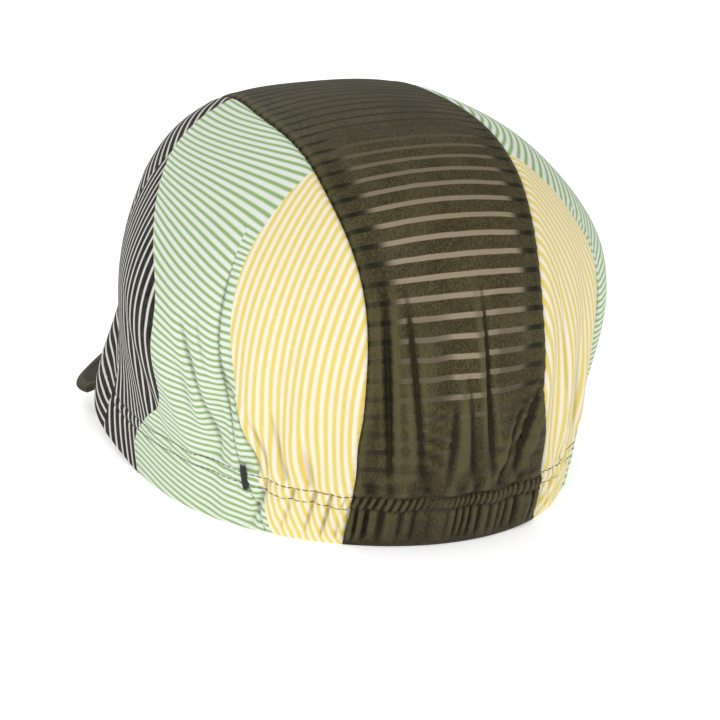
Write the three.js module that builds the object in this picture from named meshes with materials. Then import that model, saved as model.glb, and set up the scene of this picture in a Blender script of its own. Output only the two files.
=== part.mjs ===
// A soft three-panel cap with a stiffened peak, standing on a level surface as it does by itself.
// Millimetres, +Z up. The peak points toward -Y and the wearer's left is +X.
// The origin is on the surface, below the middle of the cap's outer box.
import * as THREE from 'three';
import { mergeVertices } from 'three/addons/utils/BufferGeometryUtils.js';

// Crown outline. Lengths are measured from an inner centre that lies at the widest level.
const crown = {
  front: 83,
  back: 116,
  halfWidth: 79,
  top: 143.5,
  widest: 55,
  tuckBack: 90,
  tuckSide: 127,
  planPowerBack: 2.0,
  planPowerFront: 2.3,
  risePower: 2.8,
};

// How far the inner centre lies behind the middle of the outer box.
const centreBehindOrigin = 9.5;

// Broad swells of the crown, the same on both sides. Azimuth is counted from the back.
const swells = [
  { azimuth: 66, azimuthSpread: 30, elevation: 13, elevationSpread: 24, out: 15 },
  { azimuth: 133, azimuthSpread: 20, elevation: -25, elevationSpread: 22, out: 19 },
];

// Half width of the centre panel along its arc, from the back hem over the top to the front hem.
const panelWidths = [
  { arc: -30, half: 37 },
  { arc: 15, half: 33 },
  { arc: 45, half: 37 },
  { arc: 75, half: 38 },
  { arc: 110, half: 35 },
  { arc: 160, half: 33 },
  { arc: 210, half: 37 },
];

// Folds and dents. Each runs up the crown at one azimuth and fades out at its two ends.
const folds = [
  { side: 'left', azimuth: 46.5, lean: 0, low: 9, high: 103, width: 4.6, out: -1.4 },
  { side: 'right', azimuth: 46.5, lean: 0, low: 9, high: 103, width: 4.6, out: -1.4 },
  { side: 'left', azimuth: 62, lean: 8, low: 13, high: 72, width: 5.5, out: 1.5 },
  { side: 'left', azimuth: 78, lean: 14, low: 17, high: 77, width: 6.4, out: -1.7 },
  { side: 'right', azimuth: 66, lean: 9, low: 15, high: 74, width: 6.4, out: -1.5 },
  { side: 'left', azimuth: 118, lean: 6, low: 24, high: 110, width: 8.3, out: -2.9 },
  { side: 'right', azimuth: 120, lean: 6, low: 24, high: 107, width: 8.3, out: -2.6 },
  { side: 'left', azimuth: 146, lean: -8, low: 28, high: 101, width: 8.3, out: -2.2 },
  { side: 'right', azimuth: 150, lean: -8, low: 28, high: 99, width: 8.3, out: -2 },
  { side: 'left', azimuth: 6, lean: 4, low: 22, high: 96, width: 4.6, out: 1.6 },
  { side: 'right', azimuth: 9, lean: -3, low: 18, high: 88, width: 5.5, out: -1.7 },
];

// The back of the hem is drawn in by its elastic, which throws the cloth above it into gathers.
const gathers = { reach: 62, fade: 12, height: 52, out: 1.4, wave: 17.5, lean: 0.12 };

// The hem is the turned-up edge of the panels. It stands on the surface and rises over the peak.
const hem = { height: 23, wall: 2.4, rise: 27.5, riseFrom: 100, riseTo: 150 };
const clothWall = 1.3;
const wallBlend = 6;
const seamGap = 0.3;

// The peak is one stiffened, cloth-covered board sewn under the front of the hem. Its outer edge is
// half of a rounded oval, whose middle line lies ahead of the inner centre.
const peak = {
  wall: 3.4,
  rootFrom: 137,
  rootInset: 0.6,
  gapUnderHem: 0.3,
  edgeHalfWidth: 76,
  edgeMiddle: 80,
  edgeDepth: 56,
  edgePower: 2.6,
  frontSlope: -0.02,
  sideSlope: 0.42,
  bend: 1.15,
};

// Cells of each grid.
const cuts = {
  arcRows: 48,
  acrossCells: 14,
  sideColumns: 40,
  sideRows: 18,
  bandRows: 3,
  peakColumns: 30,
  peakRows: 6,
};

const olive = 0x4a4636;
const stripes = 0xe6dc9c;

const radians = THREE.MathUtils.degToRad;
const degrees = THREE.MathUtils.radToDeg;
const lerp = THREE.MathUtils.lerp;
const smoothstep = THREE.MathUtils.smoothstep;

function bell(distance, spread) {
  return Math.exp(-((distance / spread) ** 2));
}

// Azimuth of a direction in degrees from the back, 0 to 180, the same on both sides.
function azimuthOf(direction) {
  return degrees(Math.atan2(Math.abs(direction.x), direction.y));
}

// Distance from the inner centre to the smooth crown along a unit direction.
function crownRadius(direction) {
  const { x, y, z } = direction;
  const level = Math.hypot(x, y) + 1e-9;
  const backness = Math.max(y / level, 0) ** 2;
  const length = y > 0 ? crown.back : crown.front;
  const planPower = y > 0 ? crown.planPowerBack : crown.planPowerFront;
  const tuck = lerp(crown.tuckSide, crown.tuckBack, backness);
  const height = z > 0 ? crown.top - crown.widest : tuck;
  const plan = Math.abs(x / crown.halfWidth) ** planPower + Math.abs(y / length) ** planPower + 1e-9;
  const upright = plan ** (crown.risePower / planPower) + Math.abs(z / height) ** crown.risePower;
  let radius = upright ** (-1 / crown.risePower);
  const elevation = degrees(Math.asin(z));
  for (const swell of swells) {
    const around = bell(azimuthOf(direction) - swell.azimuth, swell.azimuthSpread);
    radius += swell.out * around * bell(elevation - swell.elevation, swell.elevationSpread);
  }
  return radius;
}

function crownPoint(direction) {
  const point = direction.clone().multiplyScalar(crownRadius(direction));
  point.z += crown.widest;
  return point;
}

// Outward normal of the smooth crown, from two short steps along it.
function crownNormal(direction) {
  const step = 0.01;
  const guide = Math.abs(direction.z) > 0.8 ? new THREE.Vector3(0, 1, 0) : new THREE.Vector3(0, 0, 1);
  const first = new THREE.Vector3().crossVectors(guide, direction).normalize();
  const second = new THREE.Vector3().crossVectors(direction, first);
  const along = (offset, sign) => crownPoint(direction.clone().addScaledVector(offset, sign * step).normalize());
  const acrossFirst = along(first, 1).sub(along(first, -1));
  const acrossSecond = along(second, 1).sub(along(second, -1));
  return acrossFirst.cross(acrossSecond).normalize();
}

// Direction by arc and tilt: arc runs from the back (0) over the top (90) to the front (180),
// tilt leans it toward the wearer's left.
function archDirection(arc, tilt) {
  return new THREE.Vector3(Math.sin(tilt), Math.cos(tilt) * Math.cos(arc), Math.cos(tilt) * Math.sin(arc));
}

function ringDirection(azimuth, elevation, side) {
  const level = Math.cos(elevation);
  return new THREE.Vector3(side * Math.sin(azimuth) * level, Math.cos(azimuth) * level, Math.sin(elevation));
}

function panelHalfWidth(arc) {
  const turn = degrees(arc);
  const next = panelWidths.findIndex((row) => row.arc >= turn);
  if (next <= 0) return panelWidths[next === 0 ? 0 : panelWidths.length - 1].half;
  const [from, to] = [panelWidths[next - 1], panelWidths[next]];
  return lerp(from.half, to.half, smoothstep(turn, from.arc, to.arc));
}

// Tilt at which the crown reaches the seam, moved by a signed distance along the surface.
function seamTilt(arc, shift) {
  const half = panelHalfWidth(arc) + shift;
  let tilt = 0.4;
  for (let pass = 0; pass < 12; pass += 1) {
    tilt = Math.asin(half / crownRadius(archDirection(arc, tilt)));
  }
  return tilt;
}

// Arc at which a line along the panel comes down to a given height, at the back or at the front.
// Across is 0 on the centre line and 1 on the seam.
function arcAtHeight(across, height, atFront, shift) {
  let arc = atFront ? Math.PI : 0;
  for (let pass = 0; pass < 24; pass += 1) {
    const tilt = across * seamTilt(arc, shift);
    const drop = (height - crown.widest) / (crownRadius(archDirection(arc, tilt)) * Math.cos(tilt));
    arc = atFront ? Math.PI - Math.asin(drop) : Math.asin(drop);
  }
  return arc;
}

function directionAtHeight(azimuth, height, side) {
  let elevation = 0;
  for (let pass = 0; pass < 24; pass += 1) {
    elevation = Math.asin((height - crown.widest) / crownRadius(ringDirection(azimuth, elevation, side)));
  }
  return ringDirection(azimuth, elevation, side);
}

// Height of the hem's lower edge round the cap.
function hemLift(azimuthDegrees) {
  return hem.rise * smoothstep(azimuthDegrees, hem.riseFrom, hem.riseTo);
}

// How far the folded cloth stands out from the smooth crown.
function foldOffset(direction) {
  const point = crownPoint(direction);
  const azimuth = azimuthOf(direction);
  const side = direction.x >= 0 ? 'left' : 'right';
  const sign = direction.x >= 0 ? 1 : -1;
  const radius = Math.hypot(point.x, point.y);
  let out = 0;
  for (const fold of folds) {
    const spread = fold.high - fold.low;
    const up = (point.z - fold.low) / spread;
    if (up <= 0 || up >= 1 || side !== fold.side) continue;
    const centre = fold.azimuth + fold.lean * (up - 0.5);
    const distance = radians(azimuth - centre) * radius;
    const ends = Math.sin(Math.PI * up) ** 0.8;
    const centreLineFade = smoothstep(azimuth, 0, 4);
    out += fold.out * bell(distance, fold.width) * ends * centreLineFade;
  }
  const lift = point.z - hem.height;
  const around = 1 - smoothstep(azimuth, gathers.reach - gathers.fade, gathers.reach);
  const fade = lift < 0 ? 0.45 : bell(lift, gathers.height) * lerp(0.45, 1, smoothstep(lift, 0, 12));
  const arcLength = sign * radians(azimuth) * radius + gathers.lean * lift;
  out += gathers.out * around * fade * Math.sin((2 * Math.PI * arcLength) / gathers.wave);
  return out;
}

// The wall is thicker through the hem, where the cloth is turned up double.
function wallAt(height, lift) {
  const above = height - lift - hem.height;
  return lerp(hem.wall, clothWall, smoothstep(above, 0, wallBlend));
}

// One outer and one inner point of the cloth wall. The inner one stays level along the hem's edge.
function wallPair(direction, atEdge) {
  const normal = crownNormal(direction);
  const outer = crownPoint(direction).addScaledVector(normal, atEdge ? 0 : foldOffset(direction));
  const lift = hemLift(azimuthOf(direction));
  const inner = outer.clone().addScaledVector(normal, -wallAt(outer.z, lift));
  if (atEdge) inner.z = outer.z;
  return { outer, inner };
}

// Closes a grid of wall pairs into one solid: outer skin, inner skin and the four edges.
function shellGeometry(grid, flip) {
  const rows = grid.length;
  const columns = grid[0].length;
  const positions = [];
  for (const row of grid) {
    for (const pair of row) positions.push(...pair.outer.toArray(), ...pair.inner.toArray());
  }
  const outer = (r, c) => 2 * (r * columns + c);
  const inner = (r, c) => outer(r, c) + 1;
  const index = [];
  const quad = (a, b, c, d) => index.push(...(flip ? [a, c, b, a, d, c] : [a, b, c, a, c, d]));
  for (let r = 0; r + 1 < rows; r += 1) {
    for (let c = 0; c + 1 < columns; c += 1) {
      quad(outer(r, c), outer(r, c + 1), outer(r + 1, c + 1), outer(r + 1, c));
      quad(inner(r, c), inner(r + 1, c), inner(r + 1, c + 1), inner(r, c + 1));
    }
    quad(outer(r, 0), outer(r + 1, 0), inner(r + 1, 0), inner(r, 0));
    quad(outer(r + 1, columns - 1), outer(r, columns - 1), inner(r, columns - 1), inner(r + 1, columns - 1));
  }
  for (let c = 0; c + 1 < columns; c += 1) {
    quad(outer(0, c + 1), outer(0, c), inner(0, c), inner(0, c + 1));
    quad(outer(rows - 1, c), outer(rows - 1, c + 1), inner(rows - 1, c + 1), inner(rows - 1, c));
  }
  const geometry = new THREE.BufferGeometry();
  geometry.setAttribute('position', new THREE.Float32BufferAttribute(positions, 3));
  geometry.setIndex(index);
  return withoutCollapsedFaces(mergeVertices(geometry, 1e-3));
}

// Where a panel narrows to a corner its cells shrink to triangles, so the empty faces go.
function withoutCollapsedFaces(geometry) {
  const index = geometry.getIndex().array;
  const kept = [];
  for (let i = 0; i < index.length; i += 3) {
    const [a, b, c] = [index[i], index[i + 1], index[i + 2]];
    if (a !== b && b !== c && c !== a) kept.push(a, b, c);
  }
  geometry.setIndex(kept);
  geometry.computeVertexNormals();
  return geometry;
}

function bandHeights() {
  return Array.from({ length: cuts.bandRows + 1 }, (_, row) => (hem.height * row) / cuts.bandRows);
}

// The centre panel runs from the back hem over the top to the front hem.
function centrePanelGeometry() {
  const shift = -seamGap / 2;
  const heights = bandHeights();
  const grid = [];
  const addRow = (arcAt, atEdge) => {
    const row = [];
    for (let cell = 0; cell <= cuts.acrossCells; cell += 1) {
      const across = (2 * cell) / cuts.acrossCells - 1;
      const arc = arcAt(across);
      row.push(wallPair(archDirection(arc, across * seamTilt(arc, shift)), atEdge));
    }
    grid.push(row);
  };
  heights.forEach((height, row) => addRow((across) => arcAtHeight(across, height, false, shift), row === 0));
  for (let step = 1; step < cuts.arcRows; step += 1) {
    const along = step / cuts.arcRows;
    addRow((across) => {
      const back = arcAtHeight(across, hem.height, false, shift);
      const front = arcAtHeight(across, hem.height + hem.rise, true, shift);
      return lerp(back, front, along);
    }, false);
  }
  heights.reverse().forEach((height) => {
    addRow((across) => arcAtHeight(across, height + hem.rise, true, shift), height === 0);
  });
  return shellGeometry(grid, true);
}

// A side panel fills the half-moon between its seam and the hem, from the back to the front.
function sidePanelGeometry(side) {
  const shift = seamGap / 2;
  const seamAzimuth = (height, atFront) => {
    const arc = arcAtHeight(1, height, atFront, shift);
    return radians(azimuthOf(archDirection(arc, seamTilt(arc, shift))));
  };
  const backArc = arcAtHeight(1, hem.height, false, shift);
  const frontArc = arcAtHeight(1, hem.height + hem.rise, true, shift);
  const columns = [];
  for (let column = 0; column <= cuts.sideColumns; column += 1) {
    const along = column / cuts.sideColumns;
    const pairs = [];
    let bandTop = null;
    bandHeights().forEach((height, row) => {
      const back = seamAzimuth(height, false);
      const front = seamAzimuth(height + hem.rise, true);
      const azimuth = lerp(back, front, along);
      bandTop = directionAtHeight(azimuth, height + hemLift(degrees(azimuth)), side);
      pairs.push(wallPair(bandTop, row === 0));
    });
    const seamArc = lerp(backArc, frontArc, along);
    const seamEnd = archDirection(seamArc, side * seamTilt(seamArc, shift));
    for (let row = 1; row <= cuts.sideRows; row += 1) {
      const up = row / cuts.sideRows;
      pairs.push(wallPair(bandTop.clone().lerp(seamEnd, up).normalize(), false));
    }
    columns.push(pairs);
  }
  return shellGeometry(columns, side < 0);
}

// The peak spreads from under the front of the hem. It is arched: high in the middle, low at the sides.
function peakGeometry() {
  const columns = [];
  for (let column = 0; column <= cuts.peakColumns; column += 1) {
    const across = (2 * column) / cuts.peakColumns - 1;
    const side = across < 0 ? -1 : 1;
    const azimuth = radians(lerp(180, peak.rootFrom, Math.abs(across)));
    const lift = hemLift(degrees(azimuth));
    const hemEdge = directionAtHeight(azimuth, lift, side);
    const inward = crownNormal(hemEdge).setZ(0).normalize().multiplyScalar(-hem.wall - peak.rootInset);
    const root = crownPoint(hemEdge).add(inward);
    const turn = (Math.abs(across) * Math.PI) / 2;
    const roundness = 2 / peak.edgePower;
    const edge = new THREE.Vector3(
      side * peak.edgeHalfWidth * Math.sin(turn) ** roundness,
      -peak.edgeMiddle - peak.edgeDepth * Math.max(Math.cos(turn), 0) ** roundness,
      0,
    );
    const rootHeight = lift - peak.gapUnderHem;
    const slope = lerp(peak.frontSlope, peak.sideSlope, Math.sin(turn) ** 2);
    const reach = Math.hypot(edge.x - root.x, edge.y - root.y);
    const pairs = [];
    for (let row = 0; row <= cuts.peakRows; row += 1) {
      const out = row / cuts.peakRows;
      const outer = root.clone().lerp(edge, out);
      outer.z = rootHeight - slope * reach * out ** peak.bend;
      const inner = outer.clone();
      inner.z -= peak.wall;
      pairs.push({ outer, inner });
    }
    columns.push(pairs);
  }
  return shellGeometry(columns, false);
}

function clothMesh(name, geometry, colour) {
  const material = new THREE.MeshStandardMaterial({ color: colour, roughness: 0.85, metalness: 0 });
  const mesh = new THREE.Mesh(geometry, material);
  mesh.name = name;
  return mesh;
}

const cap = new THREE.Group();
cap.add(clothMesh('centre_panel', centrePanelGeometry(), olive));
cap.add(clothMesh('side_panel_left', sidePanelGeometry(1), stripes));
cap.add(clothMesh('side_panel_right', sidePanelGeometry(-1), stripes));
cap.add(clothMesh('peak', peakGeometry(), olive));
cap.position.y = centreBehindOrigin;

export default cap;
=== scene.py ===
# A soft cap of three sewn panels with a short stiffened peak, standing on a pale studio floor.
# Lengths are in millimetres until a mesh is made. The peak points to -Y, the wearer's left is +X.
import math
import random

import bmesh
import bpy
import numpy as np
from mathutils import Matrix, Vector


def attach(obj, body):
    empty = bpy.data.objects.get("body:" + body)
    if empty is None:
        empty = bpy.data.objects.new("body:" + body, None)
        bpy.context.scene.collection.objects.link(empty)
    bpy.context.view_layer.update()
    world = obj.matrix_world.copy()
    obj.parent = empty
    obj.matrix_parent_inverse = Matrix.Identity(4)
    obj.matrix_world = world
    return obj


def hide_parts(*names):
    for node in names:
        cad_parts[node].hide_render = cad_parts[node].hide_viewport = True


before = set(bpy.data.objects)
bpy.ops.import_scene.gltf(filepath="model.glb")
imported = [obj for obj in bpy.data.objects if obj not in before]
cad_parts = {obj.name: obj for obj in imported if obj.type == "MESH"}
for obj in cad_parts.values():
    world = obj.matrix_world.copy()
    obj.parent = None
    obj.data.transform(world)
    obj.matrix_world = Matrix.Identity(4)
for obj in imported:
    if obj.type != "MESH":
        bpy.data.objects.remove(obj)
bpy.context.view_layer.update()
mm = 0.001


def namedRows(names, rows):
    return [dict(zip(names, row)) for row in rows]


# The crown's own sizes, as in the part's source. Azimuth is counted in degrees from the back.
crown = {
    "front": 83.0,
    "back": 116.0,
    "halfWidth": 79.0,
    "top": 143.5,
    "widest": 55.0,
    "tuckBack": 90.0,
    "tuckSide": 127.0,
    "planPowerBack": 2.0,
    "planPowerFront": 2.3,
    "risePower": 2.8,
    "centreBehindOrigin": 9.5,
}
swells = [
    {"azimuth": 66, "azimuthSpread": 30, "elevation": 13, "elevationSpread": 24, "out": 15},
    {"azimuth": 133, "azimuthSpread": 20, "elevation": -25, "elevationSpread": 22, "out": 19},
]
panelArcs = [-30, 15, 45, 75, 110, 160, 210]
panelHalves = [37, 33, 37, 38, 35, 33, 37]
hem = {"height": 23.0, "wall": 2.4, "rise": 27.5, "riseFrom": 100, "riseTo": 150}
cloth = {"wall": 1.3, "wallBlend": 6.0, "seamGap": 0.1, "insideFollows": 0.6}


def bell(distance, spread):
    return np.exp(-((distance / spread) ** 2))


def smooth(value, low, high):
    t = np.clip((value - low) / (high - low), 0, 1)
    return t * t * (3 - 2 * t)


def mix(low, high, t):
    return low + (high - low) * t


def unit(vectors):
    return vectors / np.linalg.norm(vectors, axis=-1, keepdims=True)


def stack(x, y, z):
    return np.stack(np.broadcast_arrays(x, y, z), axis=-1).astype(float)


def azimuthOf(direction):
    return np.degrees(np.arctan2(np.abs(direction[..., 0]), direction[..., 1]))


def crownRadius(direction):
    x, y, z = direction[..., 0], direction[..., 1], direction[..., 2]
    level = np.hypot(x, y) + 1e-9
    backness = np.maximum(y / level, 0) ** 2
    length = np.where(y > 0, crown["back"], crown["front"])
    planPower = np.where(y > 0, crown["planPowerBack"], crown["planPowerFront"])
    tuck = mix(crown["tuckSide"], crown["tuckBack"], backness)
    height = np.where(z > 0, crown["top"] - crown["widest"], tuck)
    plan = np.abs(x / crown["halfWidth"]) ** planPower + np.abs(y / length) ** planPower + 1e-9
    upright = plan ** (crown["risePower"] / planPower) + np.abs(z / height) ** crown["risePower"]
    radius = upright ** (-1 / crown["risePower"])
    elevation = np.degrees(np.arcsin(np.clip(z, -1, 1)))
    for swell in swells:
        around = bell(azimuthOf(direction) - swell["azimuth"], swell["azimuthSpread"])
        upward = bell(elevation - swell["elevation"], swell["elevationSpread"])
        radius = radius + swell["out"] * around * upward
    return radius


def crownPoint(direction):
    point = direction * crownRadius(direction)[..., None]
    point[..., 2] += crown["widest"]
    return point


def crownNormal(direction):
    step = 0.01
    steep = np.abs(direction[..., 2:3]) > 0.8
    guide = np.where(steep, np.array([0.0, 1.0, 0.0]), np.array([0.0, 0.0, 1.0]))
    first = unit(np.cross(guide, direction))
    second = np.cross(direction, first)
    acrossFirst = crownPoint(unit(direction + step * first)) - crownPoint(unit(direction - step * first))
    acrossSecond = crownPoint(unit(direction + step * second)) - crownPoint(unit(direction - step * second))
    return unit(np.cross(acrossFirst, acrossSecond))


def archDirection(arc, tilt):
    return stack(np.sin(tilt), np.cos(tilt) * np.cos(arc), np.cos(tilt) * np.sin(arc))


def ringDirection(azimuth, elevation, side):
    level = np.cos(elevation)
    return stack(side * np.sin(azimuth) * level, np.cos(azimuth) * level, np.sin(elevation))


def panelHalfWidth(arc):
    turn = np.clip(np.degrees(arc), panelArcs[0] + 0.01, panelArcs[-1])
    row = np.searchsorted(panelArcs, turn) - 1
    low = np.array(panelArcs)[row]
    high = np.array(panelArcs)[row + 1]
    halves = np.array(panelHalves, float)
    return mix(halves[row], halves[row + 1], smooth(turn, low, high))


def seamTilt(arc, shift=0.0):
    half = panelHalfWidth(arc) + shift
    tilt = np.full_like(np.asarray(arc, float), 0.4)
    for _ in range(12):
        tilt = np.arcsin(half / crownRadius(archDirection(arc, tilt)))
    return tilt


# Above the elastic the right seam swings in and out where the gathers push against it.
seamSwings = namedRows(
    ("side", "arc", "spread", "out"), [(-1, -2.7, 4.5, -2.3), (-1, -11.5, 3.2, 1.7), (1, -9.0, 4.0, 0.7)]
)
lowSeamRadius = 112.0  # from the crown's middle to the seams, low at the back


def seamSwing(arc, side):
    # The swing as an angle, side being the sign of x. It is nothing at the hem, so that the hem meets evenly.
    turn = np.degrees(arc)
    out = np.zeros(np.broadcast(arc, side).shape)
    for swing in seamSwings:
        out = out + (side == swing["side"]) * swing["out"] * bell(turn - swing["arc"], swing["spread"])
    return out * smooth(turn, -19, -13) * (turn < 60) / lowSeamRadius


def arcAtHeight(across, height, atFront, shift):
    across = np.asarray(across, float)
    arc = np.full_like(across, math.pi if atFront else 0.0)
    for _ in range(24):
        tilt = across * seamTilt(arc, shift)
        drop = (height - crown["widest"]) / (crownRadius(archDirection(arc, tilt)) * np.cos(tilt))
        arc = math.pi - np.arcsin(drop) if atFront else np.arcsin(drop)
    return arc


def directionAtHeight(azimuth, height, side):
    elevation = np.zeros_like(np.asarray(azimuth, float))
    for _ in range(24):
        radius = crownRadius(ringDirection(azimuth, elevation, side))
        elevation = np.arcsin((height - crown["widest"]) / radius)
    return ringDirection(azimuth, elevation, side)


def hemLift(azimuthDegrees):
    return hem["rise"] * smooth(azimuthDegrees, hem["riseFrom"], hem["riseTo"])


# The large folds are those of the part's source.
folds = namedRows(
    ("side", "azimuth", "lean", "low", "high", "width", "out"),
    [
        (1, 46.5, 0, 9, 103, 4.6, -1.4),
        (-1, 46.5, 0, 9, 103, 4.6, -1.4),
        (1, 62, 8, 13, 72, 5.5, 1.5),
        (1, 78, 14, 17, 77, 6.4, -1.7),
        (-1, 66, 9, 15, 74, 6.4, -1.5),
        (1, 118, 6, 24, 110, 8.3, -2.9),
        (-1, 120, 6, 24, 107, 8.3, -2.6),
        (1, 146, -8, 28, 101, 8.3, -2.2),
        (-1, 150, -8, 28, 99, 8.3, -2.0),
        (1, 6, 4, 22, 96, 4.6, 1.6),
        (-1, 9, -3, 18, 88, 5.5, -1.7),
    ],
)
gathers = {"reach": 62, "fade": 12, "height": 52, "out": 1.4, "wave": 17.5, "lean": 0.12}

# Finer relief that only the finished cloth carries. Each "out" is a height, and plus stands off the head.
relief = {
    "dartAzimuth": 47.2,  # the sewn dart of each side panel, at its middle
    "dartMiddle": 65.0,
    "dartBow": 0.0020,  # it bows toward the back at both ends, in degrees for each square millimetre
    "dartTop": 103.0,
    "dartFade": 16.0,
    "dartGroove": 0.6,
    "dartGrooveWidth": 0.8,
    "dartShoulder": {"out": 0.3, "from": 2.0, "width": 1.4},
    "seamDip": 0.8,  # how far the cloth rolls in at a seam
    "seamDipWidth": 0.8,
    "seamRidge": {"out": 0.25, "from": 3.2, "width": 2.0},  # the seam allowance pushes the cloth out
    "seamPucker": 3.3,  # the pitch of the little puckers between the seam's stitches
    "seamPuckerPart": 0.3,
    "elasticReach": 48.0,  # azimuth where the elastic in the hem ends
    "elasticFade": 9.0,
    "rowPleat": {"pitch": 2.3, "out": 0.85, "crest": 0.75, "valley": 1.5, "sharp": 4},  # between the stitches
    "hemPleat": {"pitch": 4.2, "out": 1.3, "crest": 0.6, "valley": 1.6, "sharp": 6},  # below them
    "firmPleat": {"pitch": 6.4, "crest": 0.4, "valley": 1.9, "sharp": 8},  # in the firmer side cloth
    "firmFrom": (20.0, 25.0),  # azimuths between which the one cloth gives way to the other
    "flatAt": 8.0,  # a stretch of the hem, left of the middle, stays flat
    "flatWidth": 7.0,
    "flatPart": 0.85,
    "creaseWidth": 1.4,
    "creaseRidgeAt": 3.2,
    "creaseRidgeWidth": 2.4,
    "creaseRidgePart": 0.8,
    "sagOut": 0.42,
    "sagPitch": 5.8,
    "sagStarts": (22.0, 30.0),  # heights above the hem's edge
    "sagStops": (44.0, 74.0),
    "sagSides": (13.0, 18.0),  # the sags end before the seams
    "gatherCount": 34,
    "gatherOut": 2.0,
    "stitchGroove": 0.5,
    "stitchGroovePlain": 0.28,  # where no elastic pulls at the thread
    "stitchGrooveWidth": 0.8,
    "slackOut": 0.5,
}
stitchRows = {"sideHeight": 24.6, "backHeight": 19.8, "spacing": 4.6, "backTo": 22.0, "sideFrom": 60.0}

# Sharp creases above the elastic. Azimuth is signed here, left is plus; ridge is the side it folds to.
creases = namedRows(
    ("azimuth", "lean", "low", "high", "deep", "ridge"),
    [
        (13.8, 1.0, 22, 106, 2.0, -1),
        (8.6, 3.0, 24, 98, 1.5, 1),
        (3.0, -2.0, 22, 62, 1.1, -1),
        (-1.0, 2.0, 23, 70, 1.0, 1),
        (-4.6, 2.5, 24, 101, 1.8, 1),
        (-12.5, -6.0, 22, 60, 1.6, -1),
        (-8.5, -7.0, 21, 52, 1.2, 1),
        (42.0, 9.0, 22, 66, 1.5, -1),
        (38.5, 6.0, 23, 54, 1.1, -1),
        (34.0, 4.0, 22, 50, 1.3, 1),
        (28.5, 2.0, 22, 44, 1.0, 1),
        (52.2, 7.0, 27, 84, 1.4, 1),
        (50.6, 3.0, 52, 84, 0.8, 1),
        (-27.0, 5.0, 22, 92, 1.2, 1),
        (-36.0, 3.0, 22, 66, 1.0, -1),
        (-54.0, -6.0, 27, 78, 1.1, -1),
    ],
)

chance = random.Random(7)
smallGathers = [
    {
        "azimuth": step * 112 / relief["gatherCount"] - 56 + chance.uniform(-1.2, 1.2),
        "tall": chance.uniform(7, 24),
        "width": chance.uniform(1.5, 2.9),
        "out": chance.choice((-1, 1)) * chance.uniform(0.45, 1.0),
        "lean": chance.uniform(-0.12, 0.12),
    }
    for step in range(relief["gatherCount"])
]


def upperStitchHeight(azimuth):
    sides = smooth(azimuth, stitchRows["backTo"], stitchRows["sideFrom"])
    return mix(stitchRows["backHeight"], stitchRows["sideHeight"], sides)


def stripArcLength():
    arcs = np.radians(np.linspace(-40, 220, 521))
    line = crownPoint(archDirection(arcs, np.zeros_like(arcs)))
    steps = np.linalg.norm(np.diff(line, axis=0), axis=1)
    return arcs, np.concatenate([[0], np.cumsum(steps)])


arcTable, lengthTable = stripArcLength()


def dartAzimuthAt(height):
    return relief["dartAzimuth"] - relief["dartBow"] * (height - relief["dartMiddle"]) ** 2


def foldOffset(direction):
    point = crownPoint(direction)
    azimuth = azimuthOf(direction)
    sign = np.where(direction[..., 0] >= 0, 1, -1)
    radius = np.hypot(point[..., 0], point[..., 1])
    out = np.zeros(azimuth.shape)
    for fold in folds:
        up = (point[..., 2] - fold["low"]) / (fold["high"] - fold["low"])
        inside = (up > 0) & (up < 1) & (sign == fold["side"])
        centre = fold["azimuth"] + fold["lean"] * (up - 0.5)
        distance = np.radians(azimuth - centre) * radius
        ends = np.sin(np.pi * np.clip(up, 0, 1)) ** 0.8
        out += np.where(inside, fold["out"] * bell(distance, fold["width"]) * ends * smooth(azimuth, 0, 4), 0)
    lift = point[..., 2] - hem["height"]
    around = 1 - smooth(azimuth, gathers["reach"] - gathers["fade"], gathers["reach"])
    above = bell(lift, gathers["height"]) * mix(0.45, 1, smooth(lift, 0, 12))
    fade = np.where(lift < 0, 0.45, above)
    arcLength = sign * np.radians(azimuth) * radius + gathers["lean"] * lift
    out += gathers["out"] * around * fade * np.sin(2 * np.pi * arcLength / gathers["wave"])
    return out


def ridgePair(distance, ridge):
    # A soft ridge on each side of a line.
    return ridge["out"] * bell(np.abs(distance) - ridge["from"], ridge["width"])


def seamRelief(direction, side):
    arc = np.arctan2(direction[..., 2], direction[..., 1])
    arc = np.where(arc < -math.pi / 2, arc + 2 * math.pi, arc)
    tilt = np.arcsin(np.clip(np.abs(direction[..., 0]), 0, 1))
    fromSeam = (tilt - seamTilt(arc) - seamSwing(arc, side)) * crownRadius(direction)
    along = np.interp(arc, arcTable, lengthTable)
    pucker = 1 + relief["seamPuckerPart"] * np.sin(2 * np.pi * along / relief["seamPucker"])
    dip = relief["seamDip"] * bell(fromSeam, relief["seamDipWidth"]) * pucker
    return ridgePair(fromSeam, relief["seamRidge"]) - dip


def dartRelief(azimuth, height, radius):
    # The dart is a straight sewn line: a tight groove between two soft shoulders.
    fromDart = np.radians(azimuth - dartAzimuthAt(height)) * radius
    sewn = 1 - smooth(height, relief["dartTop"] - relief["dartFade"], relief["dartTop"])
    groove = relief["dartGroove"] * bell(fromDart, relief["dartGrooveWidth"])
    return sewn * (ridgePair(fromDart, relief["dartShoulder"]) - groove)


def creaseRelief(azimuthSigned, height, radius):
    out = np.zeros(height.shape)
    for crease in creases:
        t = (height - crease["low"]) / (crease["high"] - crease["low"])
        line = crease["azimuth"] + crease["lean"] * (t - 0.3)
        distance = np.radians(azimuthSigned - line) * radius
        ends = np.where((t > 0) & (t < 1), np.sin(np.pi * np.clip(t, 0, 1) ** 0.75) ** 1.2, 0)
        ridge = bell(distance - relief["creaseRidgeAt"] * crease["ridge"], relief["creaseRidgeWidth"])
        valley = bell(distance, relief["creaseWidth"])
        out += crease["deep"] * ends * (relief["creaseRidgePart"] * ridge - valley)
    return out


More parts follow.
